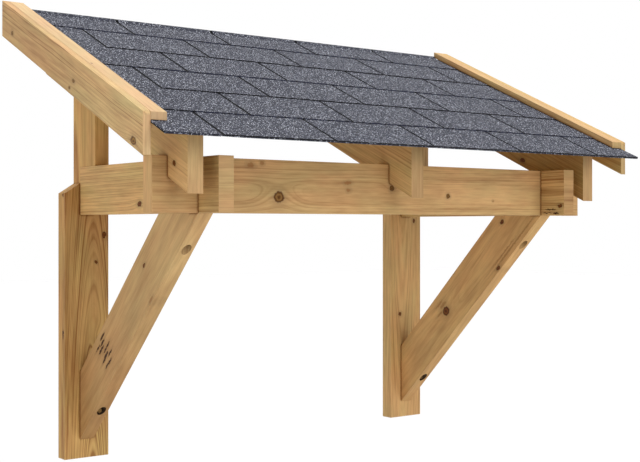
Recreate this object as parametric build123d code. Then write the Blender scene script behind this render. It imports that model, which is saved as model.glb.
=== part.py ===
from build123d import *
import math
import os

# Lean-to patio cover of planed timber with a shingle roof, held on a wall.
# X runs along the wall, the wall face is the plane Y = 0, and the cover reaches out towards -Y.
# Heights are measured up from the feet of the wall posts, and a run is the level distance
# out from the wall. Distances "above" are square to the roof's slope. All in millimetres.

# Timber sections
timber_thickness = 44.0
timber_depth = 140.0
bargeboard_thickness = 21.0
bargeboard_depth = 92.5
batten_width = 43.0
batten_thickness = 18.0

# Wall posts, arms and braces
post_width = 140.0
post_spacing = 1252.0  # centre to centre
post_head_bevel = 30.0  # fall of the post's head from the strut to each side
arm_underside = 714.0
post_rise = 93.0  # how far the posts stand above the arms' underside
arm_nose = 94.5  # arms past the front beam
brace_foot = 54.5  # lower corner of the brace, above the foot of the post

# Brace screws, one into the post and one into the arm, their heads sunk in the brace
screw_inset = 93.5  # screw's axis in from the brace's corner on the post or at the beam
screw_diameter = 8.0
screw_clearance = 0.6  # screw's hole wider than the screw
screw_grip = 36.0  # screw's length in the post or the arm
screw_head_width = 13.0  # across the hexagon's flats
screw_head_height = 5.3
washer_diameter = 22.0
washer_thickness = 1.6
counterbore_diameter = 26.0
counterbore_depth = 18.0  # along the screw's axis

# Front beam and rafters
beam_reach = 703.5  # wall to the beam's front face
beam_end = 43.0  # beam past the outer rafters
rafter_gap = 44.0  # between an arm and the outer rafter beside it
rafter_lap = 51.4  # rafter's underside below the beam's top, at the beam's front
rafter_nose = 95.0  # rafters past the front beam
roof_pitch = 24.7  # degrees

# Roof edges and deck
side_overhang = 112.0  # deck past the outer rafters
bargeboard_nose = 22.5  # bargeboards past the rafters' ends
eave_overhang = 63.5  # shingles past the bargeboards' ends
deck_thickness = 16.0
deck_board_width = 100.0

# Shingles
shingle_thickness = 2.8
shingle_exposure = 170.0
first_exposure = 160.0
shingle_lap = 42.0
starter_setback = 54.0  # starter strip's upper edge below that of the first course
upturn = 7.5  # top course's edge turned up against the wall, between the battens

os.makedirs("parts", exist_ok=True)

pitch = math.radians(roof_pitch)
arm_top = arm_underside + timber_depth
post_height = arm_underside + post_rise
beam_back = beam_reach - timber_thickness
arm_offset = post_spacing / 2
brace_lean = math.atan2(arm_underside - brace_foot, beam_reach - timber_thickness)
arm_reach = beam_reach + arm_nose

# Half widths, from the middle of the cover outwards
rafter_inner = arm_offset + timber_thickness / 2 + rafter_gap
rafter_outer = rafter_inner + timber_thickness
beam_half = rafter_outer + beam_end
deck_half = rafter_outer + side_overhang

# Reaches out from the wall
rafter_reach = beam_reach + rafter_nose
bargeboard_reach = rafter_reach + bargeboard_nose
eave_reach = bargeboard_reach + eave_overhang

# Layers of the roof, above the rafters' underside
rafter_top = timber_depth
deck_top = rafter_top + deck_thickness
lap_rise = shingle_thickness / shingle_exposure
shingle_crest = deck_top + shingle_thickness + (shingle_exposure + shingle_lap) * lap_rise
roof_top = shingle_crest + batten_thickness


def slope_height(run, above):
    at_beam = arm_top - rafter_lap
    return at_beam + (beam_reach - run) * math.tan(pitch) + above / math.cos(pitch)


def slope_point(down, above):
    # A point given by its distance down the slope from the wall, as (run, height)
    run = down * math.cos(pitch) + above * math.sin(pitch)
    height = slope_height(0, 0) - down * math.sin(pitch) + above * math.cos(pitch)
    return (run, height)


def down_slope(run, above):
    return (run - above * math.sin(pitch)) / math.cos(pitch)


def plate(x_low, x_high, outline):
    # A piece with the same side outline, given as (run, height) points, all along X
    points = [(-run, height) for run, height in outline]
    side = make_face(Plane.YZ.offset(x_low) * Polyline(*points, close=True))
    return extrude(side, amount=x_high - x_low, dir=(1, 0, 0))


def block(x_low, x_high, run_from, run_to, z_low, z_high):
    outline = [(run_from, z_low), (run_to, z_low), (run_to, z_high), (run_from, z_high)]
    return plate(x_low, x_high, outline)


def plumb_strip(run_from, run_to, low, high):
    # Outline of a sloping piece whose two ends are cut plumb
    return [
        (run_from, slope_height(run_from, low)),
        (run_to, slope_height(run_to, low)),
        (run_to, slope_height(run_to, high)),
        (run_from, slope_height(run_from, high)),
    ]


# Ledger on the wall between the outer rafters, its top bevelled to carry the deck
ledger_top = slope_height(0, rafter_top)
ledger_underside = ledger_top - timber_depth
origin_height = ledger_top - timber_depth / 2


def wall_ledger():
    outline = [
        (0, ledger_underside),
        (timber_thickness, ledger_underside),
        (timber_thickness, slope_height(timber_thickness, rafter_top)),
        (0, ledger_top),
    ]
    return plate(-rafter_inner, rafter_inner, outline)


def foot_fixing(centre):
    # The foot screw's place on the post's face, and the wood of the brace in front of it
    origin = (centre, -timber_thickness, brace_foot + screw_inset)
    return (Plane(origin=origin, z_dir=(0, -1, 0)), screw_inset / math.tan(brace_lean))


def head_fixing(centre):
    # The head screw's place on the arm's underside, and the wood of the brace below it
    origin = (centre, screw_inset - beam_reach, arm_underside)
    return (Plane(origin=origin, z_dir=(0, 0, -1)), screw_inset * math.tan(brace_lean))


def rod(base, diameter, low, high):
    length = high - low
    align = (Align.CENTER, Align.CENTER, Align.MIN)
    return base.offset(low) * Cylinder(diameter / 2, length, align=align)


def screw_hole(fixing):
    # From the screw's tip out through the counterbore, past the brace's sloping face
    base, cover = fixing
    seat = cover - counterbore_depth
    bore = rod(base, screw_diameter + screw_clearance, -screw_grip, seat)
    return bore + rod(base, counterbore_diameter, seat, cover + counterbore_diameter)


def brace_screw(fixing):
    # Hexagon head and washer on the counterbore's floor
    base, cover = fixing
    seat = cover - counterbore_depth
    head_seat = seat + washer_thickness
    shank = rod(base, screw_diameter, -screw_grip, seat)
    washer = rod(base, washer_diameter, seat, head_seat)
    hexagon = RegularPolygon(screw_head_width / 2, 6, major_radius=False)
    head = extrude(base.offset(head_seat) * hexagon, amount=screw_head_height)
    return shank + washer + head


def wall_post(centre):
    # Laid flat on the wall, its head bevelled down on both sides of the strut that stands on it
    half = post_width / 2
    half_strut = timber_thickness / 2
    front = [
        (centre - half, 0),
        (centre + half, 0),
        (centre + half, post_height - post_head_bevel),
        (centre + half_strut, post_height),
        (centre - half_strut, post_height),
        (centre - half, post_height - post_head_bevel),
    ]
    face = make_face(Plane.XZ * Polyline(*front, close=True))
    body = extrude(face, amount=timber_thickness, dir=(0, -1, 0))
    return body - screw_hole(foot_fixing(centre))


def arm(centre):
    # On edge, butted on the post, its upper half cut away where the front beam crosses
    low = centre - timber_thickness / 2
    high = centre + timber_thickness / 2
    halving_floor = arm_underside + timber_depth / 2
    body = block(low, high, timber_thickness, arm_reach, arm_underside, arm_top)
    body -= block(low, high, beam_back, beam_reach, halving_floor, arm_top)
    return body - screw_hole(head_fixing(centre))


def wall_strut(centre):
    # Stands on the post and on the arm, laps the front of the ledger and reaches the deck
    outline = [
        (0, post_height),
        (timber_thickness, post_height),
        (timber_thickness, arm_top),
        (timber_depth, arm_top),
        (timber_depth, slope_height(timber_depth, rafter_top)),
        (timber_thickness, slope_height(timber_thickness, rafter_top)),
        (timber_thickness, ledger_underside),
        (0, ledger_underside),
    ]
    return plate(centre - timber_thickness / 2, centre + timber_thickness / 2, outline)


def brace(centre):
    # Foot plumb on the post, head level under the arm and flush with the beam's front
    head_inner = beam_reach - timber_depth / math.sin(brace_lean)
    foot_top = brace_foot + timber_depth / math.cos(brace_lean)
    outline = [
        (beam_reach, arm_underside),
        (head_inner, arm_underside),
        (timber_thickness, foot_top),
        (timber_thickness, brace_foot),
    ]
    body = plate(centre - timber_thickness / 2, centre + timber_thickness / 2, outline)
    return body - screw_hole(foot_fixing(centre)) - screw_hole(head_fixing(centre))


def front_beam():
    # Crosses the arms, its lower half cut away over each
    halving_ceiling = arm_underside + timber_depth / 2
    body = block(-beam_half, beam_half, beam_back, beam_reach, arm_underside, arm_top)
    for centre in (-arm_offset, arm_offset):
        low = centre - timber_thickness / 2
        high = centre + timber_thickness / 2
        body -= block(low, high, beam_back, beam_reach, arm_underside, halving_ceiling)
    return body


def rafter(x_low, wall_run):
    # Slotted over the front beam, which it seats on, with both ends plumb
    outline = [
        (wall_run, slope_height(wall_run, 0)),
        (beam_back, slope_height(beam_back, 0)),
        (beam_back, arm_top),
        (beam_reach, arm_top),
        (beam_reach, slope_height(beam_reach, 0)),
        (rafter_reach, slope_height(rafter_reach, 0)),
        (rafter_reach, slope_height(rafter_reach, rafter_top)),
        (wall_run, slope_height(wall_run, rafter_top)),
    ]
    return plate(x_low, x_low + timber_thickness, outline)


def deck_boards():
    # Laid along X from the eave up, edge to edge, the last one cut to the wall
    boards = []
    edge = down_slope(bargeboard_reach, deck_top)
    wall_low = down_slope(0, rafter_top)
    wall_high = down_slope(0, deck_top)
    while edge > wall_low:
        upper = edge - deck_board_width
        outline = [
            slope_point(edge, rafter_top),
            slope_point(edge, deck_top),
            slope_point(max(upper, wall_high), deck_top),
            slope_point(max(upper, wall_low), rafter_top),
        ]
        boards.append(plate(-deck_half, deck_half, outline))
        edge = upper
    return boards


def course_underside(down, next_edge):
    # Each course lies on the one below and comes down to the deck at its upper end
    return deck_top + (down - next_edge + shingle_lap) * lap_rise


def wall_cut(next_edge, lift, run=0):
    # Point of a course, lifted off its underside, that lies in the wall's plane or a run out of it
    at_wall_line = course_underside(0, next_edge) + lift
    down = (run - at_wall_line * math.sin(pitch)) / (math.cos(pitch) + lap_rise * math.sin(pitch))
    return slope_point(down, at_wall_line + down * lap_rise)


def turned_up_edge(next_edge):
    run, height = wall_cut(next_edge, shingle_thickness, shingle_thickness)
    half = deck_half - batten_width
    return block(-half, half, 0, run, height, height + upturn)


def shingle_courses():
    courses = []
    wall_end = down_slope(0, deck_top)
    edge = down_slope(eave_reach, deck_top)
    exposure = first_exposure
    while edge - exposure / 2 > wall_end:
        next_edge = edge - exposure
        upper = next_edge - shingle_lap
        underside = course_underside(edge, next_edge)
        outline = [slope_point(edge, underside), slope_point(edge, underside + shingle_thickness)]
        for lift in (shingle_thickness, 0):
            if upper > wall_end:
                outline.append(slope_point(upper, course_underside(upper, next_edge) + lift))
            else:
                outline.append(wall_cut(next_edge, lift))
        course = plate(-deck_half, deck_half, outline)
        if upper <= wall_end:
            course += turned_up_edge(next_edge)
        courses.append(course)
        edge = next_edge
        exposure = shingle_exposure
    return courses


def starter_strip():
    # Tapered strip that fills the first course up from the deck and overhangs the eave with it
    edge = down_slope(eave_reach, deck_top)
    next_edge = edge - first_exposure
    upper = next_edge - shingle_lap + starter_setback
    outline = [
        slope_point(edge, deck_top),
        slope_point(edge, course_underside(edge, next_edge)),
        slope_point(upper, course_underside(upper, next_edge)),
        slope_point(upper, deck_top),
    ]
    return plate(-deck_half, deck_half, outline)


def bargeboard(sign):
    outline = plumb_strip(0, bargeboard_reach, roof_top - bargeboard_depth, roof_top)
    faces = sorted([sign * deck_half, sign * (deck_half + bargeboard_thickness)])
    return plate(faces[0], faces[1], outline)


def cover_batten(sign):
    # Lies on the shingles against the bargeboard, flush with its top edge
    outline = plumb_strip(0, bargeboard_reach, shingle_crest, roof_top)
    faces = sorted([sign * deck_half, sign * (deck_half - batten_width)])
    return plate(faces[0], faces[1], outline)


def save(piece, name):
    # The origin is the centre of the ledger's back face, on the wall
    export_step(Pos(0, 0, -origin_height) * piece, f"parts/{name}.step")


for side, sign in (("left", -1), ("right", 1)):
    centre = sign * arm_offset
    save(wall_post(centre), f"wall_post_{side}")
    save(arm(centre), f"arm_{side}")
    save(brace(centre), f"brace_{side}")
    save(brace_screw(foot_fixing(centre)), f"brace_foot_screw_{side}")
    save(brace_screw(head_fixing(centre)), f"brace_head_screw_{side}")
    save(wall_strut(centre), f"wall_strut_{side}")
    save(rafter(min(sign * rafter_inner, sign * rafter_outer), 0), f"rafter_{side}")
    save(bargeboard(sign), f"bargeboard_{side}")
    save(cover_batten(sign), f"cover_batten_{side}")

save(front_beam(), "front_beam")
save(rafter(-timber_thickness / 2, timber_thickness), "rafter_middle")
save(wall_ledger(), "wall_ledger")
for number, board in enumerate(deck_boards(), start=1):
    save(board, f"deck_board_{number}")
save(starter_strip(), "starter_strip")
for number, course in enumerate(shingle_courses(), start=1):
    save(course, f"shingle_course_{number}")
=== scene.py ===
import math

import bmesh
import bpy
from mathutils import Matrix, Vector


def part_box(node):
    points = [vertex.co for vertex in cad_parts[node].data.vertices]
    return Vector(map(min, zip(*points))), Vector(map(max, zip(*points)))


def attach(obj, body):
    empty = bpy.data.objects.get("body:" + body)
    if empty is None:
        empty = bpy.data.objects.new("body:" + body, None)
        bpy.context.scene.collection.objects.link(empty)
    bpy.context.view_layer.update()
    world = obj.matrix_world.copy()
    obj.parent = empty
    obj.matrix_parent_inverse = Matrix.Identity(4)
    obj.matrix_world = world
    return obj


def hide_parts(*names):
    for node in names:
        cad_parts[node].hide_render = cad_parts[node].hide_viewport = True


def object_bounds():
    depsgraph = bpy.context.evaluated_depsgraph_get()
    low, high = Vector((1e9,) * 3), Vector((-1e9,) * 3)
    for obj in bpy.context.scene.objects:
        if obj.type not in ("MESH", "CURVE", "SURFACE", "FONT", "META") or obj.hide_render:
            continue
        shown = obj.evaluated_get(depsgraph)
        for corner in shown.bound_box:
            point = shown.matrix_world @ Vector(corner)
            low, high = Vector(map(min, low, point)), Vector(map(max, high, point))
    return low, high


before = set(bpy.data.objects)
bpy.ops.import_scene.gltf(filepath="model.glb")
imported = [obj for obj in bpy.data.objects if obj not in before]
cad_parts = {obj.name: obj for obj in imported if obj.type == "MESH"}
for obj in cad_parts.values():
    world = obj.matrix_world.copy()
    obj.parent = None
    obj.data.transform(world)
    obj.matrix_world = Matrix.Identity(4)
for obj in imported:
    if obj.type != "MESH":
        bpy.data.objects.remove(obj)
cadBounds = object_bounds()
mm = 0.001  # metres in a millimetre

# The frame's X runs along the wall, -Y out from it and Z up
roofPitch = math.radians(24.7)
upSlope = Vector((0, math.cos(roofPitch), math.sin(roofPitch)))
offSlope = Vector((0, -math.sin(roofPitch), math.cos(roofPitch)))
diagonal = math.sqrt(0.5)  # how far a step along a brace goes out, and how far up
parallel = 0.999  # cosine above which two directions count as the same


def linearColour(hexCode):
    channels = [int(hexCode[i:i + 2], 16) / 255 for i in (1, 3, 5)]
    return [c / 12.92 if c <= 0.04045 else ((c + 0.055) / 1.055) ** 2.4 for c in channels] + [1.0]


def addNode(tree, kind, sockets=None, stops=None, **settings):
    # A socket takes a value, another node (its first output) or one of its outputs
    node = tree.nodes.new("ShaderNode" + kind)
    for name, value in settings.items():
        setattr(node, name, value)
    for key, value in (sockets or {}).items():
        if isinstance(value, bpy.types.Node):
            value = value.outputs[0]
        if isinstance(value, bpy.types.NodeSocket):
            tree.links.new(value, node.inputs[key])
        else:
            node.inputs[key].default_value = value
    if stops:
        ramp = node.color_ramp.elements
        while len(ramp) < len(stops):
            ramp.new(1.0)
        for element, (position, colour) in zip(ramp, stops):
            element.position = position
            element.color = linearColour(colour) if isinstance(colour, str) else [colour] * 3 + [1.0]
    return node


# Softwood, planed and given a clear honey stain: pale wide earlywood, soft brown latewood,
# dark round branch knots. Sizes in millimetres.
pine = {
    "early": "#c8a06a", "late": "#8a5c31",
    "knotHeart": "#7c4610", "knotRing": "#592c03", "knotRim": "#481f00",
    "faintKnot": "#8a4a1c", "faintRim": "#94602c",  # a knot just below the surface
    "scratch": "#2c1400", "scratchRim": "#4a2704",
    "rosy": (1.05, 0.975, 0.95), "olive": (0.96, 1.02, 0.97),  # how the stain leans from place to place
    "patchiness": 0.09,    # how much lighter and darker its patches are
    "patchPace": (5, 15, 15),  # patches in a metre, along and across: each as long as a hand
    "tone": (1.08, 1.12, 1.15), "endTone": (0.95, 0.95, 0.95),  # the colour on the sides and on cut ends: stain, with painted light and shade fitted piece by piece to how each face is lit
    "lengthTone": None,    # or (start, tone, end, tone): a colour that changes along the timber, from one tone to the other
    "seed": 1.0,           # gives each timber its own part of the patterns
    "pith": (20, 120),     # the trunk's centre, across and through the timber from its middle
    "tilt": (0, 0.02),     # slope of the grain, across and through, in radians
    "ring": 6.0,           # wide, plantation-grown rings
    "yearSpread": 3.0,     # how unequal the rings' widths are
    "figure": 0.45,        # how dark the rings are, from 0 to 1
    "streak": 0.40,        # how dark the streaks along them are
    "streakPace": 3.2,     # roughly how often they change in a metre
    "mottle": 0.16,        # short soft blotches, uneven stain in the earlywood
    "mottleSize": 7.0, "mottleStretch": 0.14,  # a blotch's width, and its width over its length
    "wander": 3.5,         # how far the grain strays sideways
    "swayPace": (2.0, 7, 7),  # how often it does in a metre, along and across
    "endFigure": 0.6,      # the share of rings and streaks that cut ends show
    "endPlace": (200, 100),  # where in the pattern cut ends lie, clear of the pith
    "knots": [], "faintKnots": [], "scratches": [],
    "knotWobble": 9.0, "wobblePace": 110.0,  # how far their rims stray, and how often in a metre
    "turning": 6.5,        # smaller knots don't turn the grain
    "turnReach": 2.3, "turnPush": 1.1,  # how far round a knot it turns, and how much, in knot radii
    "halo": 0.80,          # darker wood close round a knot
    "jointShade": 7.0,          # reach of the painted shade where two timbers meet, and its colour
    "jointShadeColour": (0.42, 0.27, 0.13),
    "boreShade": 0.13,     # how dark the screws' holes are
    "fibre": 1.8,          # real fibres are 0.03 mm, drawn this coarse so that they show
    "fibreStretch": 0.02,  # a fibre's width over its length
    "relief": 0.4, "fibreRelief": 1.5,  # the latewood's height in the bump, and the fibres' weight in it
    "roughness": 0.62,     # planed and stained wood, satin
    "polish": 0.08,        # the latewood is this much smoother
    "ior": 1.48, "gloss": 0.22,
}
noiseMiddle = (0.5, 0.5, 0.5)  # what a noise texture's colour varies about
bell = 0.3679  # one over e: raised to the square of a distance, it gives a bell curve


def pineMaterial(name, look):
    look = {**pine, **look}
    material = bpy.data.materials.new(name)
    material.use_nodes = True
    tree = material.node_tree
    tree.nodes.clear()
    grain = addNode(tree, "Attribute", attribute_name="grain").outputs["Vector"]
    seed = look["seed"]

    # Grain that strays a little, slowly along the timber and faster across it
    sway = addNode(tree, "Mapping", {"Vector": grain, "Location": (seed, seed * 2, seed * 3),
                                     "Scale": look["swayPace"]})
    swayNoise = addNode(tree, "TexNoise", {"Vector": sway, "Scale": 1.0, "Detail": 2.0})
    strayed = addNode(tree, "VectorMath", {0: swayNoise.outputs["Color"], 1: noiseMiddle},
                      operation="SUBTRACT")
    wander = look["wander"] * 2 * mm
    strayed = addNode(tree, "VectorMath", {0: strayed, 1: (0, wander, wander), 2: grain},
                      operation="MULTIPLY_ADD")
    tiltAcross, tiltThrough = look["tilt"]
    pithed = addNode(tree, "Mapping", {
        "Vector": strayed, "Rotation": (0, tiltThrough, -tiltAcross),
        "Location": (0, -look["pith"][0] * mm, -look["pith"][1] * mm)})
    pithed = addNode(tree, "VectorMath", {0: pithed, 1: (0, 1, 1)}, operation="MULTIPLY")
    radius = addNode(tree, "VectorMath", {0: pithed}, operation="LENGTH").outputs["Value"]

    # Knots: branches square to the wide faces, or to the edges where the last value is "edge".
    # Each is (along, aside, radius, how many times longer than wide), in mm from the timber's middle
    nearest = {"knots": None, "faintKnots": None, "scratches": None}
    if any(look[kind] for kind in nearest):
        rough = addNode(tree, "TexNoise", {"Vector": grain, "Scale": look["wobblePace"], "Detail": 2.0})
        rough = addNode(tree, "VectorMath", {0: rough.outputs["Color"], 1: noiseMiddle},
                        operation="SUBTRACT")
        wobble = (look["knotWobble"] * mm,) * 3
        branchPlace = addNode(tree, "VectorMath", {0: rough, 1: wobble, 2: grain},
                              operation="MULTIPLY_ADD")
    for kind, knot in [(kind, knot) for kind in nearest for knot in look[kind]]:
        along, side, size = (value * mm for value in knot[:3])
        mask = Vector((1, 0, 1)) if "edge" in knot else Vector((1, 1, 0))
        centre = Vector((along, 0, side)) if "edge" in knot else Vector((along, side, 0))
        scale = Vector((1 / knot[3], mask[1], mask[2])) / size
        core = addNode(tree, "VectorMath", {0: branchPlace, 1: scale, 2: -centre * scale},
                       operation="MULTIPLY_ADD")
        core = addNode(tree, "VectorMath", {0: core}, operation="LENGTH").outputs["Value"]
        if nearest[kind] is None:
            nearest[kind] = core
        else:
            nearest[kind] = addNode(tree, "Math", {0: nearest[kind], 1: core}, operation="MINIMUM")
        if kind != "knots" or size < look["turning"] * mm:
            continue
        # The grain turns round the knot in an eye twice as long as wide
        eye = Vector((mask[0] / 2, mask[1], mask[2])) / (look["turnReach"] * size)
        bend = addNode(tree, "VectorMath", {0: grain, 1: eye, 2: -centre * eye}, operation="MULTIPLY_ADD")
        bend = addNode(tree, "VectorMath", {0: bend, 1: bend}, operation="DOT_PRODUCT").outputs["Value"]
        bend = addNode(tree, "Math", {0: bell, 1: bend}, operation="POWER")
        radius = addNode(tree, "Math", {0: bend, 1: look["turnPush"] * size, 2: radius},
                         operation="MULTIPLY_ADD")

    # Growth rings, their width and strength different from year to year. Each is pale at first, then
    # slowly darker up to its sharp dark end
    years = addNode(tree, "Math", {0: radius, 1: look["ring"] * mm}, operation="DIVIDE")
    yearPlace = addNode(tree, "CombineXYZ", {"X": years, "Y": seed})
    slow = addNode(tree, "TexNoise", {"Vector": yearPlace, "Scale": 0.35, "Detail": 1.0})
    years = addNode(tree, "Math", {0: slow.outputs["Fac"], 1: look["yearSpread"], 2: years},
                    operation="MULTIPLY_ADD")
    season = addNode(tree, "Math", {0: years}, operation="FRACT")
    season = addNode(tree, "ValToRGB", {"Fac": season}, stops=[
        (0.0, 0.25), (0.14, 0.0), (0.45, 0.12), (0.80, 1.0), (1.0, 0.25)])
    season.color_ramp.interpolation = "EASE"
    year = addNode(tree, "Math", {0: years}, operation="FLOOR")
    yearStrength = addNode(tree, "TexWhiteNoise", {"W": year}, noise_dimensions="1D")
    yearStrength = addNode(tree, "MapRange", {"Value": yearStrength.outputs["Value"], "To Min": 0.15,
                                              "To Max": 1.0})
    latewood = addNode(tree, "Math", {0: season, 1: yearStrength}, operation="MULTIPLY")

    # Streaks that follow the rings, and fine fibres along the timber
    lengthwise = addNode(tree, "SeparateXYZ", {"Vector": grain}).outputs["X"]
    paced = addNode(tree, "Math", {0: lengthwise, 1: look["streakPace"]}, operation="MULTIPLY")
    streakPlace = addNode(tree, "CombineXYZ", {"X": years, "Y": paced, "Z": seed})
    streaks = addNode(tree, "TexNoise", {"Vector": streakPlace, "Scale": 0.8, "Detail": 3.0})
    streaks = addNode(tree, "MapRange", {"Value": streaks.outputs["Fac"], "From Min": 0.38,
                                         "From Max": 0.72}, interpolation_type="SMOOTHSTEP")
    fibrePlace = addNode(tree, "Mapping", {"Vector": strayed, "Scale": (look["fibreStretch"], 1, 1)})
    fibres = addNode(tree, "TexNoise", {"Vector": fibrePlace, "Scale": 1 / (look["fibre"] * mm),
                                        "Detail": 2.0})
    fibres = addNode(tree, "MapRange", {"Value": fibres.outputs["Fac"], "From Min": 0.3,
                                        "From Max": 0.7, "To Min": -0.09, "To Max": 0.11})
    mottlePlace = addNode(tree, "Mapping", {"Vector": strayed, "Scale": (look["mottleStretch"], 1, 1),
                                            "Location": (seed * 0.1, seed * 0.2, 0)})
    mottle = addNode(tree, "TexNoise", {"Vector": mottlePlace, "Scale": 1 / (look["mottleSize"] * mm),
                                        "Detail": 3.0})
    mottle = addNode(tree, "MapRange", {"Value": mottle.outputs["Fac"], "From Min": 0.35,
                                        "From Max": 0.70, "To Max": look["mottle"]})
    fibres = addNode(tree, "Math", {0: fibres, 1: mottle}, operation="ADD")
    cut = addNode(tree, "Attribute", attribute_name="endCut").outputs["Fac"]
    figure = addNode(tree, "MapRange", {"Value": cut, "From Min": 0.5, "To Min": look["figure"],
                                        "To Max": look["figure"] * look["endFigure"]})
    dark = addNode(tree, "Math", {0: latewood, 1: figure, 2: fibres}, operation="MULTIPLY_ADD")
    streaky = addNode(tree, "MapRange", {"Value": cut, "From Min": 0.5, "To Min": look["streak"],
                                         "To Max": look["streak"] * look["endFigure"]})
    dark = addNode(tree, "Math", {0: streaks, 1: streaky, 2: dark}, operation="MULTIPLY_ADD",
                   use_clamp=True)
    colour = addNode(tree, "Mix", {"Factor": dark, "A": linearColour(look["early"]),
                                   "B": linearColour(look["late"])}, data_type="RGBA")
    colour = colour.outputs["Result"]

    # Stain taken up unevenly, in patches, here rosier and there more olive
    patchPlace = addNode(tree, "Mapping", {"Vector": grain, "Location": (seed * 5, 0, seed),
                                           "Scale": look["patchPace"]})
    patches = addNode(tree, "TexNoise", {"Vector": patchPlace, "Scale": 1.0, "Detail": 3.0})
    lean = addNode(tree, "SeparateColor", {"Color": patches.outputs["Color"]}).outputs["Green"]
    lean = addNode(tree, "MapRange", {"Value": lean, "From Min": 0.35, "From Max": 0.65})
    rosy, olive = ([a * b for a, b in zip(look[hue], look["tone"])] + [1] for hue in ("rosy", "olive"))
    lean = addNode(tree, "Mix", {"Factor": lean, "A": rosy, "B": olive}, data_type="RGBA")
    colour = addNode(tree, "VectorMath", {0: colour, 1: lean.outputs["Result"]}, operation="MULTIPLY")
    patches = addNode(tree, "MapRange", {"Value": patches.outputs["Fac"], "From Min": 0.3,
                                         "From Max": 0.7, "To Min": 1 - look["patchiness"],
                                         "To Max": 1 + look["patchiness"]})
    if look["lengthTone"]:
        start, startTone, end, farTone = look["lengthTone"]
        gradual = addNode(tree, "MapRange", {"Value": lengthwise, "From Min": start * mm,
                                             "From Max": end * mm})
        gradual = addNode(tree, "Mix", {"Factor": gradual, "A": (*startTone, 1), "B": (*farTone, 1)},
                          data_type="RGBA")
        colour = addNode(tree, "VectorMath", {0: colour, 1: gradual.outputs["Result"]},
                         operation="MULTIPLY")
    endShare = addNode(tree, "MapRange", {"Value": cut, "From Min": 0.5, "From Max": 1.0})
    endTint = addNode(tree, "Mix", {"Factor": endShare, "A": (1, 1, 1, 1), "B": (*look["endTone"], 1)},
                      data_type="RGBA")
    colour = addNode(tree, "VectorMath", {0: colour, 1: endTint.outputs["Result"]}, operation="MULTIPLY")
    bored = addNode(tree, "Attribute", attribute_name="bored").outputs["Fac"]
    bored = addNode(tree, "MapRange", {"Value": bored, "To Min": 1.0, "To Max": look["boreShade"]})
    shade = addNode(tree, "Math", {0: patches, 1: bored}, operation="MULTIPLY")
    # Painted shade in the joints: the ambient occlusion node darkens the colour to a dark line where two
    # timbers meet, standing for the shadow there
    jointShade = addNode(tree, "AmbientOcclusion", {"Distance": look["jointShade"] * mm}, samples=6)
    jointShade = addNode(tree, "MapRange", {"Value": jointShade.outputs["AO"], "From Min": 0.5, "From Max": 0.95})
    jointShade = addNode(tree, "Mix", {"Factor": jointShade, "A": (*look["jointShadeColour"], 1), "B": (1, 1, 1, 1)},
                    data_type="RGBA")
    colour = addNode(tree, "VectorMath", {0: colour, 1: jointShade.outputs["Result"]}, operation="MULTIPLY")
    colour = addNode(tree, "VectorMath", {0: colour, "Scale": shade}, operation="SCALE")

    # The knots' own rings and rims, and the darker wood close round them. Faint ones are half seen
    knotFaces = {
        "faintKnots": (0.5, [(0.0, look["faintKnot"]), (0.9, look["faintRim"])]),
        "knots": (1.0, [(0.0, look["knotRim"]), (0.28, look["knotRing"]), (0.50, look["knotHeart"]),
                        (0.70, look["knotRing"]), (0.90, look["knotRim"])]),
        "scratches": (1.0, [(0.0, look["scratch"]), (0.9, look["scratchRim"])]),
    }
    for kind, (strength, stops) in knotFaces.items():
        if nearest[kind] is None:
            continue
        knotFace = addNode(tree, "ValToRGB", {"Fac": nearest[kind]}, stops=stops)
        halo = addNode(tree, "MapRange", {"Value": nearest[kind], "From Min": 1.0, "From Max": 2.4,
                                          "To Min": look["halo"], "To Max": 1.0})
        colour = addNode(tree, "VectorMath", {0: colour, "Scale": halo}, operation="SCALE")
        knotShare = addNode(tree, "MapRange", {"Value": nearest[kind], "From Min": 0.85, "From Max": 1.1,
                                               "To Min": strength, "To Max": 0.0})
        colour = addNode(tree, "Mix", {"Factor": knotShare, "A": colour, "B": knotFace},
                         data_type="RGBA").outputs["Result"]

    roughness = addNode(tree, "MapRange", {"Value": dark, "To Min": look["roughness"],
                                           "To Max": look["roughness"] - look["polish"]})
    height = addNode(tree, "Math", {0: fibres, 1: look["fibreRelief"], 2: latewood},
                     operation="MULTIPLY_ADD")
    bump = addNode(tree, "Bump", {"Strength": 0.25, "Distance": look["relief"] * mm, "Height": height})
    surface = addNode(tree, "BsdfPrincipled", {"Base Color": colour, "Roughness": roughness,
                                               "Normal": bump})
    surface.inputs["IOR"].default_value = look["ior"]
    surface.inputs["Specular IOR Level"].default_value = look["gloss"]
    addNode(tree, "OutputMaterial", {"Surface": surface})
    return material


# Planed timbers have their arrises eased, less at sawn ends. Sizes in millimetres, angles in degrees
arrisLook = {"ease": 1.3, "endShare": 0.5, "segments": 4,
             "turn": 28.0,      # only edges that turn more than this are eased
             "farEnd": 200.0,   # a timber's far end begins this far from its middle
             "merge": 0.02, "flat": 1.5}  # corners this close, and faces this level, become one
# Counterbored holes for the screws: radius, and how dark the painted shade in them is at the braces' feet and
# heads
boreLook = {"radius": 14.5, "shade": {"foot": 1.0, "head": 0.35},
            "rim": 0.99}  # cosine above which a face belongs to the brace's own surface


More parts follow.
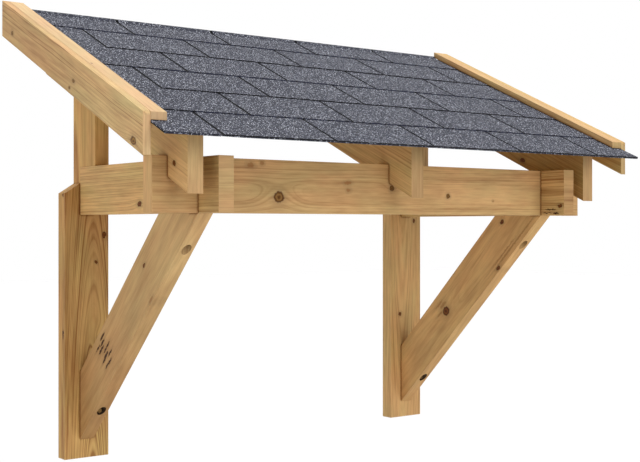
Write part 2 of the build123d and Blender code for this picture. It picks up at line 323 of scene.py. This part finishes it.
def timberPiece(node, along, across, look, bores=()):
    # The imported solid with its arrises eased, carrying the timber's own grain directions
    along, across = Vector(along).normalized(), Vector(across).normalized()
    through = along.cross(across)
    low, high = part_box(node)
    centre = (low + high) / 2
    shape = bmesh.new()
    shape.from_mesh(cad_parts[node].data)
    bmesh.ops.remove_doubles(shape, verts=shape.verts, dist=arrisLook["merge"] * mm)
    bmesh.ops.dissolve_limit(shape, angle_limit=math.radians(arrisLook["flat"]), verts=shape.verts,
                             edges=shape.edges)
    weights = shape.edges.layers.float.new("bevel_weight_edge")
    ease = look.get("ease", arrisLook["ease"])
    rounding = look.get("noseRounding", ease)  # for the upper corner of the far end
    for edge in shape.edges:
        if len(edge.link_faces) != 2 or not edge.is_convex:
            continue
        if edge.calc_face_angle() < math.radians(arrisLook["turn"]):
            continue
        direction = (edge.verts[1].co - edge.verts[0].co).normalized()
        middle = (edge.verts[1].co + edge.verts[0].co) / 2 - centre
        width = ease if abs(direction.dot(along)) > parallel else arrisLook["endShare"] * ease
        farEnd = middle.dot(along) > arrisLook["farEnd"] * mm
        if farEnd and abs(direction.dot(through)) > parallel and middle.dot(across) > 0:
            width = max(width, rounding)
        edge[weights] = width / max(ease, rounding)
    mesh = bpy.data.meshes.new(node + "_rough")
    shape.to_mesh(mesh)
    shape.free()
    piece = bpy.data.objects.new(node.title().replace("_", ""), mesh)
    bpy.context.scene.collection.objects.link(piece)
    arris = piece.modifiers.new("arris", "BEVEL")
    arris.width = max(ease, rounding) * mm
    arris.segments = arrisLook["segments"]
    arris.limit_method = "WEIGHT"
    for face in mesh.polygons:
        face.use_smooth = True
    flats = piece.modifiers.new("flats", "WEIGHTED_NORMAL")
    flats.weight = 100
    finished = bpy.data.meshes.new_from_object(piece.evaluated_get(bpy.context.evaluated_depsgraph_get()))
    piece.modifiers.clear()
    piece.data = finished
    endAside, endThrough = (value * mm for value in pine["endPlace"])
    grain = finished.attributes.new("grain", "FLOAT_VECTOR", "CORNER")
    endCut = finished.attributes.new("endCut", "FLOAT", "FACE")
    for face, value in zip(finished.polygons, endCut.data):
        value.value = abs(face.normal.dot(along))
        upright = face.normal.cross(through)
        for loop in face.loop_indices:
            offset = finished.vertices[finished.loops[loop].vertex_index].co - centre
            if value.value > 0.5:
                # Saw and stain leave streaks on a cut end, upright on most of the timbers
                ways = (through, upright) if look.get("levelEnds") else (upright, through)
                place = (offset.dot(ways[0]), endAside + offset.dot(ways[1]), endThrough)
            else:
                place = (offset.dot(along), offset.dot(across), offset.dot(through))
            grain.data[loop].vector = place
    if bores:
        # Faces inside the screws' holes, darkened with painted shade for the depth of the hole, and with
        # stain
        bored = finished.attributes.new("bored", "FLOAT", "FACE")
        for face, value in zip(finished.polygons, bored.data):
            for axisPoint, axis, reach, depth in bores:
                offset = face.center - axisPoint
                offset -= axis * offset.dot(axis)
                if offset.length < reach and abs(face.normal.dot(across)) < boreLook["rim"]:
                    value.value = depth
    finished.materials.clear()
    finished.materials.append(pineMaterial("pine_" + node, look))
    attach(piece, "root")
    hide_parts(node)


# Wall posts, laid flat: grain upright, wide face to the front
postLooks = {
    "wall_post_left": {"seed": 3.1, "tone": (1.03, 1.04, 0.923),
                       "pith": (20, 42), "tilt": (0.0, 0.05), "ring": 3.4, "figure": 0.95, "streak": 0.55,
                       "knots": [(251, 56, 6, 1.6), (171, 30, 5, 1.0), (368, -9, 4, 1.5, "edge"),
                                 (-62, 40, 9, 1.0)],
                       "scratches": [(-40, -9, 3.4, 4.0, "edge")]},
    "wall_post_right": {"seed": 5.7, "tone": (1.14, 1.21, 1.26),
                        "pith": (-15, 42), "tilt": (0.0, -0.03), "ring": 5.0, "figure": 0.35,
                        "knots": [(296, 40, 6, 1.4), (-37, -27, 6.4, 1.2)]},
}
for node, look in postLooks.items():
    timberPiece(node, (0, 0, 1), (1, 0, 0), look)
print("posts done")

# Arms on edge
armLooks = {
    "arm_left": {"seed": 8.3, "tone": (1.28, 1.38, 1.43), "endTone": (0.8, 0.79, 0.88),
                 "lengthTone": (0, (1.0, 1.0, 1.0), 330, (0.79, 0.79, 0.79)),
                 "pith": (130, 20), "tilt": (0.012, 0.0),
                 "knots": [(-18, -43, 8, 1.3)]},
    "arm_right": {"seed": 1.9, "tone": (1.17, 1.23, 1.24), "endTone": (0.78, 0.73, 0.76),
                  "pith": (130, -10), "tilt": (0.01, 0.0), "figure": 0.7, "streak": 0.6,
                  "knots": [(361, -41, 5.5, 1.5), (279, 9, 3.4, 1.4)],
                  "scratches": [(345, -63, 2.6, 5.0), (322, -52, 1.6, 14.0), (312, -62, 1.5, 12.0)]},
}
for node, look in armLooks.items():
    timberPiece(node, (0, -1, 0), (0, 0, 1), {**look, "levelEnds": True})
print("arms done")

# Struts on the posts
strutLooks = {
    "wall_strut_left": {"seed": 4.4, "tone": (1.18, 1.22, 1.1), "pith": (-60, 70), "ring": 5.5,
                        "knots": [(60, 20, 5, 1.2)]},
    "wall_strut_right": {"seed": 6.1, "tone": (1.03, 1.19, 1.53), "pith": (40, 80), "ring": 5.5},
}
for node, look in strutLooks.items():
    timberPiece(node, (0, 0, 1), (0, -1, 0), look)
print("struts done")

# Braces, grain along their own slope, bored level into the posts and upright into the arms
screwAxes = {"foot": Vector((0, 1, 0)), "head": Vector((0, 0, 1))}
braceStain = {"ring": 7.0, "mottle": 0.34, "mottleSize": 15.0,
              "rosy": (1.07, 0.96, 0.94), "olive": (1.01, 0.99, 0.97)}
braceLooks = {
    "brace_left": {"seed": 2.2, "tone": (0.98, 1.07, 1.11),
                   "lengthTone": (-350, (0.78, 0.71, 0.65), 350, (1.14, 1.21, 1.28)),
                   "pith": (-75, -58), "tilt": (0.02, 0.03), "figure": 0.08, "streak": 0.10,
                   "knots": [(174, -98, 4, 2.0)],
                   "scratches": [(-145, -121, 4.0, 4.4), (-189, -114, 3.2, 5.0), (-176, -98, 4.0, 5.6),
                                 (-158, -108, 3.4, 5.0), (-137, -83, 3.4, 4.6), (-142, -58, 3.0, 5.0),
                                 (-166, -69, 4.2, 4.4), (-184, -65, 3.4, 4.6), (-160, -42, 3.0, 4.6),
                                 (-179, -44, 3.0, 4.6), (-158, -82, 2.8, 5.0)],
                   "faintKnots": [(137, -8, 5, 2.5)]},
    "brace_right": {"seed": 7.4, "tone": (1.09, 1.15, 1.12),
                    "lengthTone": (-350, (0.95, 0.95, 0.95), 350, (1.05, 1.05, 1.05)),
                    "pith": (-60, -70), "tilt": (-0.02, 0.03), "figure": 0.13, "streak": 0.14,
                    "knots": [(-65, -73, 15, 1.1), (218, -9, 6, 1.6), (335, -103, 6.5, 1.5)],
                    "faintKnots": [(-62, -98, 6, 3.0), (-75, -112, 4, 6.0), (-95, -86, 3, 6.0),
                                   (330, -17, 2.4, 45.0), (270, -27, 2.2, 30.0)]},
}
for node, look in braceLooks.items():
    side = node.split("_")[1]
    bores = []
    for end, axis in screwAxes.items():
        middle = sum(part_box(f"brace_{end}_screw_{side}"), Vector()) / 2
        bores.append((middle, axis, boreLook["radius"] * mm, boreLook["shade"][end]))
    timberPiece(node, (0, -diagonal, diagonal), (0, -diagonal, -diagonal),
                {**braceStain, **look}, bores)
print("braces done")

# Front beam
beamLook = {"seed": 9.2, "tone": (1.05, 1.12, 1.23), "endTone": (1.18, 1.1, 1.12),
            "lengthTone": (-620, (0.91, 0.91, 0.91), -100, (1.03, 1.03, 1.03)),
            "pith": (-12, -20), "tilt": (0.008, 0.003), "ring": 4.2, "figure": 0.34, "streak": 0.30,
            "mottle": 0.2, "wander": 6.0, "knotHeart": "#8a6230", "knotRing": "#66430f",
            "knots": [(-401, -27, 15, 1.1), (-11, 4, 8, 1.0), (206, -15, 7, 1.0)],
            "faintKnots": [(-455, 60, 5, 1.2), (-490, 54, 6, 1.8), (393, -27, 3, 1.2),
                           (-170, 15, 5, 2.2), (-168, -5, 5, 1.4)]}
timberPiece("front_beam", (1, 0, 0), (0, 0, 1), beamLook)

# Ledger on the wall, under the roof's upper edge
ledgerLook = {"seed": 5.2, "pith": (70, -60), "ring": 5.5,
              "knots": [(-300, 20, 7, 1.2), (210, -30, 6, 1.2)]}
timberPiece("wall_ledger", (1, 0, 0), (0, 0, 1), ledgerLook)
print("beam and ledger done")

# Rafters
rafterLooks = {
    "rafter_left": {"seed": 6.6, "tone": (1.23, 1.34, 1.42), "endTone": (0.87, 0.85, 0.97),
                    "pith": (-100, -40), "figure": 0.2, "streak": 0.22, "mottle": 0.24,
                    "knots": [(383, -28, 6, 1.4)]},
    "rafter_middle": {"seed": 3.9, "tone": (1.15, 1.34, 1.46), "endTone": (0.72, 0.62, 0.66),
                      "pith": (90, 60), "ring": 5.5},
    # its tone is darker than the other rafters': painted shade for the roof's shadow over it
    "rafter_right": {"seed": 1.3, "tone": (0.812, 0.83, 0.688), "endTone": (1.24, 1.26, 1.84),
                     "pith": (-90, 50), "ring": 5.5, "knots": [(184, -50, 7, 1.5)]},
}
for node, look in rafterLooks.items():
    timberPiece(node, -upSlope, offSlope, look)
print("rafters done")

# Bargeboards and the battens that cover the shingles' side edges
boardLooks = {
    "bargeboard_left": {"seed": 7.7, "tone": (1.07, 1.19, 1.33), "endTone": (1.16, 1.1, 1.32),
                        "lengthTone": (-100, (0.965, 0.945, 0.91), 420, (1.11, 1.17, 1.20)),
                        "pith": (34, -24), "tilt": (0.012, 0.004), "ring": 3.0, "figure": 0.72,
                        "streak": 0.3, "mottle": 0.34, "mottleSize": 12.0, "gloss": 0.4,
                        "knotHeart": "#946c2c", "knotRing": "#643e04", "knotRim": "#4a2600",
                        "knots": [(-365, -17, 6, 1.4), (59, -11, 4, 2.0), (44, -35, 3.2, 1.6),
                                  (417, -34, 10, 1.4)],
                        "noseRounding": 9.0},
    "bargeboard_right": {"seed": 2.8, "tone": (1.08, 1.16, 1.05), "endTone": (0.91, 0.97, 1.24),
                         "pith": (40, 40), "gloss": 0.4,
                         "knots": [(120, 10, 5, 1.3)],
                         "noseRounding": 9.0},
    "cover_batten_left": {"seed": 4.9, "tone": (1.01, 1.13, 1.4), "endTone": (1.09, 1.07, 1.15),
                          "pith": (50, 70), "ring": 5.0, "figure": 0.2, "streak": 0.2, "gloss": 0.5,
                          "knots": [(100, 13, 2, 2.0, "edge")]},
    "cover_batten_right": {"seed": 8.1, "tone": (1.0, 1.08, 1.12),
                           "pith": (-50, 70), "ring": 5.0, "figure": 0.3, "gloss": 0.5,
                           # a wider painted shade, darkening its inner side by the shingles
                           "jointShade": 16.0},
}
for node, look in boardLooks.items():
    timberPiece(node, -upSlope, offSlope, look)
print("edge boards done")

# Roof boards, paler, with more off their arrises for a small V at each joint
deckLook = {"early": "#cfab78", "late": "#a87c4c", "ring": 4.5, "wander": 7.0, "ease": 2.0}
for number in range(1, 10):
    node = f"deck_board_{number}"
    # Piths, slopes and knots are scattered by the board's number
    look = {**deckLook, "pith": (25 * math.sin(number * 2.1), -50 - 6 * (number % 3)), "seed": 10.0 + number,
            "tilt": (0.0, 0.012 * math.cos(number)),
            "knots": [(-700 + 157 * ((number * 5) % 9), 30 * math.sin(number * 3.3), 6, 1.1),
                      (-560 + 141 * ((number * 7) % 9), 28 * math.cos(number * 1.7), 5, 1.2)]}
    timberPiece(node, (1, 0, 0), upSlope, look)
print("roof boards done")

# Brace screws: hexagon heads on washers, zinc plated steel. The stain has run into the holes and dulls the
# metal to brown; the washers deep in the feet are nearly black, stain and painted shade together.
# Sizes in millimetres
screwLook = {"head": "#8c6c42", "headStain": "#3d2e1c",
             "footWasher": "#3a2614", "footWasherStainAndShade": "#120d08",
             "topWasher": "#b98a48", "topWasherStain": "#94703f",
             "roughness": 0.5, "dullness": 0.15,  # and how much rougher the stained metal is
             "ease": 0.4, "turn": 40.0,  # off edges that turn more than this many degrees
             "grit": 2.0,        # size of the stain's specks
             "headRadius": 7.6}  # what lies outside it is washer


def zincMaterial(name, dull, bright):
    material = bpy.data.materials.new(name)
    material.use_nodes = True
    tree = material.node_tree
    tree.nodes.clear()
    place = addNode(tree, "TexCoord").outputs["Object"]
    bloom = addNode(tree, "TexNoise", {"Vector": place, "Scale": 1 / (screwLook["grit"] * mm), "Detail": 3.0})
    colour = addNode(tree, "ValToRGB", {"Fac": bloom.outputs["Fac"]}, stops=[(0.35, dull), (0.6, bright)])
    rough = addNode(tree, "MapRange", {"Value": bloom.outputs["Fac"], "To Max": screwLook["roughness"],
                                       "To Min": screwLook["roughness"] + screwLook["dullness"]})
    surface = addNode(tree, "BsdfPrincipled", {"Base Color": colour, "Roughness": rough})
    surface.inputs["Metallic"].default_value = 1.0
    addNode(tree, "OutputMaterial", {"Surface": surface})
    return material


zinc = zincMaterial("zinc_plated_steel", screwLook["headStain"], screwLook["head"])
washerSteel = {
    # the washers deep in the feet: stain, and painted shade for the depth of the hole
    "foot": zincMaterial("stained_steel_painted_shade_dark", screwLook["footWasherStainAndShade"], screwLook["footWasher"]),
    "head": zincMaterial("stained_steel_brown", screwLook["topWasherStain"], screwLook["topWasher"])}
for side in ("left", "right"):
    for end, axis in screwAxes.items():
        node = f"brace_{end}_screw_{side}"
        middle = sum(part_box(node), Vector()) / 2
        shape = bmesh.new()
        shape.from_mesh(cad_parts[node].data)
        bmesh.ops.remove_doubles(shape, verts=shape.verts, dist=arrisLook["merge"] / 2 * mm)
        turn = math.radians(screwLook["turn"])
        sharp = [e for e in shape.edges if len(e.link_faces) == 2 and e.calc_face_angle() > turn]
        bmesh.ops.bevel(shape, geom=sharp, offset=screwLook["ease"] * mm, segments=2, profile=0.5,
                        affect="EDGES")
        for face in shape.faces:
            offset = face.calc_center_median() - middle
            offset -= axis * offset.dot(axis)
            face.material_index = 1 if offset.length > screwLook["headRadius"] * mm else 0
        mesh = bpy.data.meshes.new(node + "_steel")
        shape.to_mesh(mesh)
        shape.free()
        mesh.materials.append(zinc)
        mesh.materials.append(washerSteel[end])
        screw = bpy.data.objects.new(node.title().replace("_", ""), mesh)
        bpy.context.scene.collection.objects.link(screw)
        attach(screw, "root")
        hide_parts(node)
print("screws done")

# Bitumen shingles: glass felt soaked in bitumen, topped with crushed slate. Matt, blue-grey and
# speckled. Sizes in millimetres
shingleLook = {
    "tabSpacing": 336.0, "slotWidth": 9.0,
    "slotLean": 4.5,  # slots aren't quite square to the eave, and stray this far
    "slotSlant": 0.6, "slotDepth": 0.75,  # the cut's sides lean in this far, and it goes this share through
    "firstSlots": (-690.0, -517.0, -686.5, -514.0, -683.0, -511.0),  # X of each course's first slot, eave up
    "longTabs": (3, 5),  # courses whose left tab hangs down over the course below
    "lostTabs": (2, 4),  # and those whose left end gives way to it
    "lap": 8.0,          # how far they reach in under that tab
    "cell": 48.0,        # rough width of the mesh's cells
    "edgeRow": 4.0, "coveredRows": (6.0, 14.0),  # its rows near the lower edge and under the next course
    "granule": 1.9,  # real granules are about 1 mm, drawn this coarse so that they show
    "tones": ["#08090f", "#161826", "#2d3042", "#c0c3cd"],  # granules from nearly black to pale
    "toneShares": (0.0, 0.45, 0.90, 0.94),
    "cloudPace": 9.0, "cloudiness": 0.05,  # faint clouds in a metre, and how much they lighten and darken
    "roughness": 0.9,
    "bitumen": "#0e0e10", "bitumenDark": "#08080a", "bitumenGloss": 0.25,
    "strandPace": 300.0,  # strands of felt in a metre of cut edge
    "crumb": 14.0,   # size of the places where slate has stuck to a cut edge
    "turnUp": 11.0,  # the top course starts to turn up this far from the wall
}


def shingleMaterial():
    material = bpy.data.materials.new("slate_granules_on_bitumen")
    material.use_nodes = True
    tree = material.node_tree
    tree.nodes.clear()
    place = addNode(tree, "TexCoord").outputs["Object"]
    size = shingleLook["granule"] * mm
    cells = addNode(tree, "TexVoronoi", {"Vector": place, "Scale": 1 / size})
    pick = addNode(tree, "SeparateColor", {"Color": cells.outputs["Color"]})
    colour = addNode(tree, "ValToRGB", {"Fac": pick},
                     stops=list(zip(shingleLook["toneShares"], shingleLook["tones"])))
    cloud = addNode(tree, "TexNoise", {"Vector": place, "Scale": shingleLook["cloudPace"], "Detail": 4.0})
    cloud = addNode(tree, "MapRange", {"Value": cloud.outputs["Fac"], "From Min": 0.3, "From Max": 0.7,
                                       "To Min": 1 - shingleLook["cloudiness"],
                                       "To Max": 1 + shingleLook["cloudiness"]})
    colour = addNode(tree, "VectorMath", {0: colour, "Scale": cloud}, operation="SCALE")
    bump = addNode(tree, "Bump", {"Strength": 0.6, "Distance": 1.0 * mm,
                                  "Height": cells.outputs["Distance"]}, invert=True)
    surface = addNode(tree, "BsdfPrincipled", {"Base Color": colour, "Normal": bump})
    surface.inputs["Roughness"].default_value = shingleLook["roughness"]
    addNode(tree, "OutputMaterial", {"Surface": surface})
    return material


def bitumenMaterial(name, dusted):
    # Black and dull. The more it is dusted, from 0 to 1, the more slate has stuck to the cut edge
    material = bpy.data.materials.new(name)
    material.use_nodes = True
    tree = material.node_tree
    tree.nodes.clear()
    place = addNode(tree, "TexCoord").outputs["Object"]
    strands = addNode(tree, "TexNoise", {"Vector": place, "Scale": shingleLook["strandPace"],
                                         "Detail": 2.0})
    colour = addNode(tree, "ValToRGB", {"Fac": strands.outputs["Fac"]},
                     stops=[(0.3, shingleLook["bitumenDark"]), (0.7, shingleLook["bitumen"])])
    if dusted:
        crumbs = addNode(tree, "TexNoise", {"Vector": place, "Scale": 1 / (shingleLook["crumb"] * mm),
                                            "Detail": 2.0})
        crumbs = addNode(tree, "MapRange", {"Value": crumbs.outputs["Fac"], "From Min": 0.58 - 0.2 * dusted,
                                            "From Max": 0.66 - 0.2 * dusted})
        colour = addNode(tree, "Mix", {"Factor": crumbs, "A": colour,
                                       "B": linearColour(shingleLook["tones"][2])}, data_type="RGBA")
        colour = colour.outputs["Result"]
    surface = addNode(tree, "BsdfPrincipled", {"Base Color": colour})
    surface.inputs["Roughness"].default_value = shingleLook["roughness"]
    surface.inputs["Specular IOR Level"].default_value = shingleLook["bitumenGloss"]
    addNode(tree, "OutputMaterial", {"Surface": surface})
    return material


slate = shingleMaterial()
bitumen = bitumenMaterial("bitumen_felt_cut_edge", 0.0)
dustedBitumen = bitumenMaterial("bitumen_felt_edge_with_slate", 0.9)


def sheetOutline(node):
    # A sheet's end from its lower edge up the slope: corners of the top face, and those of the underside
    # The corners of its left end are taken, to a thousandth of a millimetre
    vertices = [v.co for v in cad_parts[node].data.vertices]
    end = min(v.x for v in vertices)
    corners = {(round(v.y, 6), round(v.z, 6)) for v in vertices if v.x < end + 0.1 * mm}
    corners = sorted((Vector((0, y, z)) for y, z in corners), key=lambda c: c.dot(upSlope))
    low = sorted(corners[:2], key=lambda c: -c.dot(offSlope))
    high = sorted(corners[2:], key=lambda c: -c.dot(offSlope))
    return low[0], high[0], low[1], high[1]


def sheetPiece(node, name, cells, point, edgeFinish, shadowedSlotColumns=()):
    # cells holds the (column, row) places that have felt. The slot columns passed last get a black bitumen
    # top with no granules: a painted shadow in the slot.
    # point(column, row, top) is a corner on the top face or on the underside, and
    # edgeFinish(column, side) the material of an edge: 0 slate, 1 bitumen, 2 bitumen with slate on it.
    # Sides go round from the lower edge: 0 lower, 1 right, 2 upper, 3 left
    shape = bmesh.new()
    corners = {}

    def corner(column, row, top):
        key = (column, row, top)
        if key not in corners:
            corners[key] = shape.verts.new(point(*key))
        return corners[key]

    for column, row in sorted(cells):
        around = [(column, row), (column + 1, row), (column + 1, row + 1), (column, row + 1)]
        face = shape.faces.new([corner(c, r, True) for c, r in around])
        # slot columns are topped with black bitumen, a painted shadow
        face.material_index = 1 if column in shadowedSlotColumns else 0
        shape.faces.new([corner(c, r, False) for c, r in reversed(around)]).material_index = 1
        beside = [(column, row - 1), (column + 1, row), (column, row + 1), (column - 1, row)]
        for index, other in enumerate(beside):
            if other not in cells:
                start, end = around[index], around[(index + 1) % 4]
                wall = [corner(*end, True), corner(*start, True), corner(*start, False),
                        corner(*end, False)]
                shape.faces.new(wall).material_index = edgeFinish(column, index)
    mesh = bpy.data.meshes.new(name)
    shape.to_mesh(mesh)
    shape.free()
    mesh.materials.append(slate)
    mesh.materials.append(bitumen)
    mesh.materials.append(dustedBitumen)
    piece = bpy.data.objects.new(name, mesh)
    bpy.context.scene.collection.objects.link(piece)
    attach(piece, "root")
    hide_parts(node)


def courseColumns(first, extra):
    # X lines of a course in mm, which of them lie on a slot's floor, and which columns are in a slot.
    # first is the first slot, and extra one more line or None
    wide = shingleLook["slotWidth"] / 2
    floor = wide - shingleLook["slotSlant"]
    stops = [(-roofHalf, False), (-betweenBattens, False)]
    if extra is not None:
        stops.append((extra, False))
    slot = first
    while slot < betweenBattens - 2 * wide:
        stops += [(slot - wide, False), (slot - floor, True), (slot + floor, True), (slot + wide, False)]
        slot += shingleLook["tabSpacing"]
    stops += [(betweenBattens, False), (roofHalf, False)]
    lines, floors, slots = [stops[0][0]], set(), set()
    for (start, fromFloor), (end, toFloor) in zip(stops, stops[1:]):
        if fromFloor or toFloor:
            slots.add(len(lines) - 1)
        count = max(1, round((end - start) / shingleLook["cell"]))
        lines += [start + (end - start) * (i + 1) / count for i in range(count)]
        if toFloor:
            floors.add(len(lines) - 1)
    return lines, floors, slots


outlines = {number: sheetOutline(f"shingle_course_{number}") for number in range(1, 7)}
starterOutline = sheetOutline("starter_strip")
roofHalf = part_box("shingle_course_1")[1].x / mm
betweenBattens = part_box("cover_batten_right")[0].x / mm
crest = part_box("shingle_course_6")[1].z
edgeRow, firstSlots = shingleLook["edgeRow"], shingleLook["firstSlots"]
tabRows = 3  # rows of cells in a long tab, below its course's own
for number in range(1, 7):
    lowTop, highTop, lowUnder, highUnder = outlines[number]
    felt = (lowTop - lowUnder).length
    length = (highTop - lowTop).dot(upSlope) / mm
    if number < 6:
        exposed = (outlines[number + 1][0] - lowTop).dot(upSlope) / mm
        covered = [exposed + more for more in shingleLook["coveredRows"]]
        rows = [0.0, edgeRow, exposed / 2, *covered, length]
        slotTop = 4  # the row line at which the slots have ended, under the course above
    else:
        # The top course reaches the wall and turns up against it, with its slots
        highTop = lowTop.lerp(highTop, 1 + felt / (lowTop.y - highTop.y))
        exposed = length
        rows = [0.0, edgeRow, length / 2, length]
        slotTop = len(rows) + 1
    lastRow = len(rows) - 1
    longTab = number in shingleLook["longTabs"]
    lostTab = number in shingleLook["lostTabs"]
    lapEdge = firstSlots[number] - shingleLook["lap"] if lostTab else None
    lines, floors, slots = courseColumns(firstSlots[number - 1], lapEdge)
    firstSlot = min(slots)
    cells = set()
    for column in range(len(lines) - 1):
        for row in range(lastRow):
            if lostTab and lines[column + 1] <= lapEdge and row < slotTop - 1:
                continue
            cells.add((column, row))
        if number == 6 and abs(lines[column] + lines[column + 1]) / 2 < betweenBattens:
            cells.add((column, lastRow))
        if longTab and column < firstSlot:
            # down to the lower course's edge
            cells |= {(column, -row) for row in range(1, tabRows + 1)}

    def coursePoint(column, row, top):
        sideways = 0.0
        if 1 < column < len(lines) - 2:
            sideways = shingleLook["slotLean"] * (rows[min(max(row, 0), lastRow)] / exposed - 0.5)
        x = (lines[column] + sideways) * mm
        if row > lastRow:
            above, below = Vector((0, -felt, crest)), Vector((0, 0, crest))
        elif row < 0:
            under = outlines[number - 1]
            down = -row / tabRows
            above, below = lowTop.lerp(under[0], down), lowUnder.lerp(under[2], down)
        else:
            share = rows[row] / rows[lastRow]
            above, below = lowTop.lerp(highTop, share), lowUnder.lerp(highUnder, share)
            if number == 6 and row == lastRow:
                above = above.lerp(lowTop, shingleLook["turnUp"] / length)
        if number == 1 and row == 0 and column <= firstSlot:
            # The first course's left tab is bent down over the starter strip's edge
            below = starterOutline[2]
        if column in floors and row < slotTop:
            above = above.lerp(below, shingleLook["slotDepth"])
        place = above if top else below
        return (x, place.y, place.z)

    def courseEdge(column, side):
        if number == 1 and column < firstSlot and side in (0, 3):
            return 0  # slate runs round the left tab's edges
        if number == 6 and side == 2:
            return 0  # and over the top course's edge at the wall
        return 2 if number % 2 == 0 and side == 0 else 1

    sheetPiece(f"shingle_course_{number}", f"ShingleCourse{number}", cells, coursePoint, courseEdge,
               shadowedSlotColumns=slots)

# The starter strip under the first course: granules show along its lower edge
starterLook = {"cells": 24, "rows": (0.0, 0.04, 0.5, 1.0),  # as shares of its depth
               "tucked": 0.02}  # its lower edge stays this share behind the first course's left tab
starterCells = starterLook["cells"]
starterLines = [-roofHalf + 2 * roofHalf * i / starterCells for i in range(starterCells + 1)]


def starterPoint(column, row, top):
    low, high = starterOutline[0:2] if top else starterOutline[2:4]
    share = starterLook["rows"][row]
    if row == 0 and starterLines[column] < shingleLook["firstSlots"][0]:
        share = starterLook["tucked"]
    place = low.lerp(high, share)
    return (starterLines[column] * mm, place.y, place.z)


starterFelt = {(column, row) for column in range(starterCells) for row in range(3)}
sheetPiece("starter_strip", "StarterStrip", starterFelt, starterPoint,
           lambda column, side: 0 if side == 0 else 1)
print("shingles done")

# Camera, level and at the photograph's angle
cameraLook = {"place": (-2.19448, -3.22043, -0.52794), "azimuth": 37.134, "lens": 66.418,
              "shift": (0.01044, -0.00838)}
cameraData = bpy.data.cameras.new("camera")
cameraData.lens = cameraLook["lens"]
cameraData.sensor_width = 36.0
cameraData.shift_x, cameraData.shift_y = cameraLook["shift"]
camera = bpy.data.objects.new("camera", cameraData)
camera.location = cameraLook["place"]
camera.rotation_euler = (math.pi / 2, 0, -math.radians(cameraLook["azimuth"]))
bpy.context.scene.collection.objects.link(camera)
bpy.context.scene.camera = camera

# Pale floor a metre below the posts' feet: the cover hangs on a wall, well above the ground
stageLook = {"drop": 1.0, "size": 60.0, "floor": "#cfcfcf", "glow": 0.12, "skyLight": 0.18}
# Soft lamps: strength, spread in degrees, and the direction they shine from
lampLooks = {"overhead": (3.24, 50, (0, 0, 1)), "leftFill": (0.78, 50, (-1, -0.25, 0.35)),
             "frontFill": (1.33, 50, (0.1, -1, 0.35))}
floorMesh = bpy.data.meshes.new("floor")
half = stageLook["size"] / 2
floorLevel = cadBounds[0].z - stageLook["drop"]
floorMesh.from_pydata([(-half, -half, floorLevel), (half, -half, floorLevel), (half, half, floorLevel),
                       (-half, half, floorLevel)], [], [(0, 1, 2, 3)])
floor = bpy.data.objects.new("floor", floorMesh)
bpy.context.scene.collection.objects.link(floor)
# The camera sees it brightened to white with the object's shadow on it, and from below not at all
floorMaterial = bpy.data.materials.new("matt_white_floor")
floorMaterial.use_nodes = True
tree = floorMaterial.node_tree
tree.nodes.clear()
matt = addNode(tree, "BsdfDiffuse", {"Color": linearColour(stageLook["floor"])})
glow = addNode(tree, "Emission", {"Strength": stageLook["glow"]})
seen = addNode(tree, "LightPath").outputs["Is Camera Ray"]
nothing = addNode(tree, "BsdfTransparent")
lit = addNode(tree, "AddShader", {0: matt, 1: glow})
whole = addNode(tree, "MixShader", {0: seen, 1: matt, 2: lit})
below = addNode(tree, "NewGeometry").outputs["Backfacing"]
oneSided = addNode(tree, "MixShader", {0: below, 1: whole, 2: nothing})
addNode(tree, "OutputMaterial", {"Surface": oneSided})
floorMesh.materials.append(floorMaterial)

# White to the camera and in reflections, and a low even light on everything else
world = bpy.data.worlds.new("studio")
bpy.context.scene.world = world
world.use_nodes = True
tree = world.node_tree
tree.nodes.clear()
path = addNode(tree, "LightPath")
seen = addNode(tree, "Math", {0: path.outputs["Is Camera Ray"], 1: path.outputs["Is Glossy Ray"]},
               operation="MAXIMUM")
seen = addNode(tree, "Math", {0: seen, 1: path.outputs["Is Transmission Ray"]}, operation="MAXIMUM")
level = addNode(tree, "MapRange", {"Value": seen, "To Min": stageLook["skyLight"], "To Max": 1.0})
sky = addNode(tree, "Background", {"Color": (1, 1, 1, 1), "Strength": level.outputs["Result"]})
addNode(tree, "OutputWorld", {"Surface": sky})

for name, (strength, spread, direction) in lampLooks.items():
    lampData = bpy.data.lights.new(name, "SUN")
    lampData.energy = strength
    lampData.angle = math.radians(spread)
    lamp = bpy.data.objects.new(name, lampData)
    lamp.rotation_euler = Vector(direction).to_track_quat("Z", "Y").to_euler()
    bpy.context.scene.collection.objects.link(lamp)
bpy.context.scene.view_settings.view_transform = "Standard"
print("camera and studio done")
